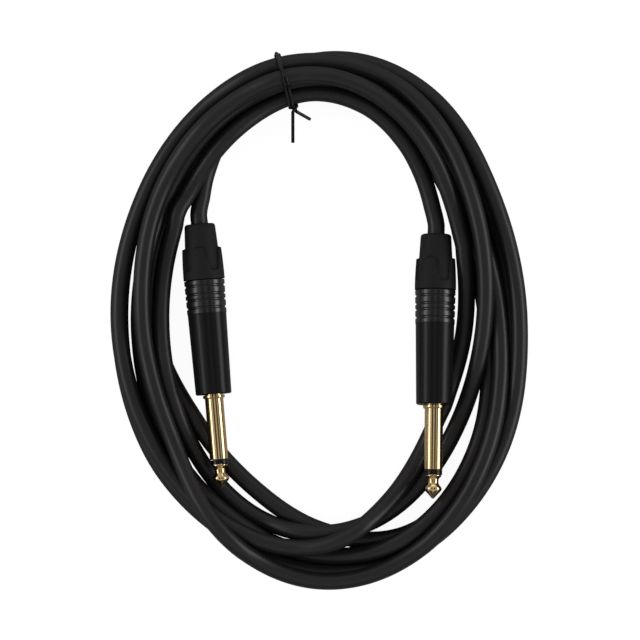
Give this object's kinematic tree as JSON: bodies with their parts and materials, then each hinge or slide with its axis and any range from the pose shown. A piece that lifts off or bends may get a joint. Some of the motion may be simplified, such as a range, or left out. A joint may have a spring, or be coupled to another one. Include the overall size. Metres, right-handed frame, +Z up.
{
  "type": "instrument cable",
  "caption": "Black instrument cable laid in an oval coil under a wire tie, with a straight gold-plated quarter-inch jack plug with a grooved shell and screw-on boot at each end.",
  "frame": {"origin": "on the surface that the cable lies on, under the middle of the box round the two plugs", "axes": "+Z up from the surface, +Y from the plugs' tips towards their boots and the tied end of the coil, +X to the right plug"},
  "size_m": [0.1442, 0.1859, 0.026],
  "materials": {
    "gold": "polished gold plate",
    "black_insulator": "gloss black moulding",
    "white_plastic": "plain moulded",
    "tinned": "bright tin plate",
    "core_plastic": "plain extruded",
    "clear_plastic": "translucent sheet",
    "black_shell": "satin black",
    "black_rubber": "matte moulded",
    "black_jacket": "matte extruded",
    "tie_coat": "coated wire"
  },
  "bodies": {
    "cable": {"tip_contact_left": "gold", "tip_insulator_left": "black_insulator", "sleeve_contact_left": "gold", "rear_insulator_left": "white_plastic", "tip_lug_left": "tinned", "screen_lug_left": "tinned", "core_wire_left": "core_plastic", "screen_tail_left": "tinned", "liner_left": "clear_plastic", "shell_left": "black_shell", "jacket_end_left": "black_jacket", "tip_contact_right": "gold", "tip_insulator_right": "black_insulator", "sleeve_contact_right": "gold", "rear_insulator_right": "white_plastic", "tip_lug_right": "tinned", "screen_lug_right": "tinned", "core_wire_right": "core_plastic", "screen_tail_right": "tinned", "liner_right": "clear_plastic", "shell_right": "black_shell", "jacket_end_right": "black_jacket", "cable_coil": "black_jacket", "cable_lead_left": "black_jacket", "cable_lead_right": "black_jacket", "tie": "tie_coat"},
    "collet_left": {"collet_left": "white_plastic"},
    "boot_left": {"boot_left": "black_rubber"},
    "collet_right": {"collet_right": "white_plastic"},
    "boot_right": {"boot_right": "black_rubber"}
  },
  "joints": [
    {"name": "boot_travel_left", "type": "slide", "parent": "cable", "child": "collet_left", "axis": [-0.0836, 0.9958, -0.0384], "range_m": [0, 0.004]},
    {"name": "boot_turn_left", "type": "hinge", "parent": "collet_left", "child": "boot_left", "pos_m": [-0.03963, 0.02786, 0.0072], "axis": [-0.0836, 0.9958, -0.0384], "range_deg": [0, 1440]},
    {"name": "boot_travel_right", "type": "slide", "parent": "cable", "child": "collet_right", "axis": [0.0139, 0.9951, -0.0976], "range_m": [0, 0.004]},
    {"name": "boot_turn_right", "type": "hinge", "parent": "collet_right", "child": "boot_right", "pos_m": [0.04004, 0.02434, 0.00762], "axis": [0.0139, 0.9951, -0.0976], "range_deg": [0, 1440]}
  ],
  "couplings": [
    {"joint": "boot_turn_left", "follows": "boot_travel_left", "rad_per_m": 6283.2},
    {"joint": "boot_turn_right", "follows": "boot_travel_right", "rad_per_m": 6283.2}
  ]
}
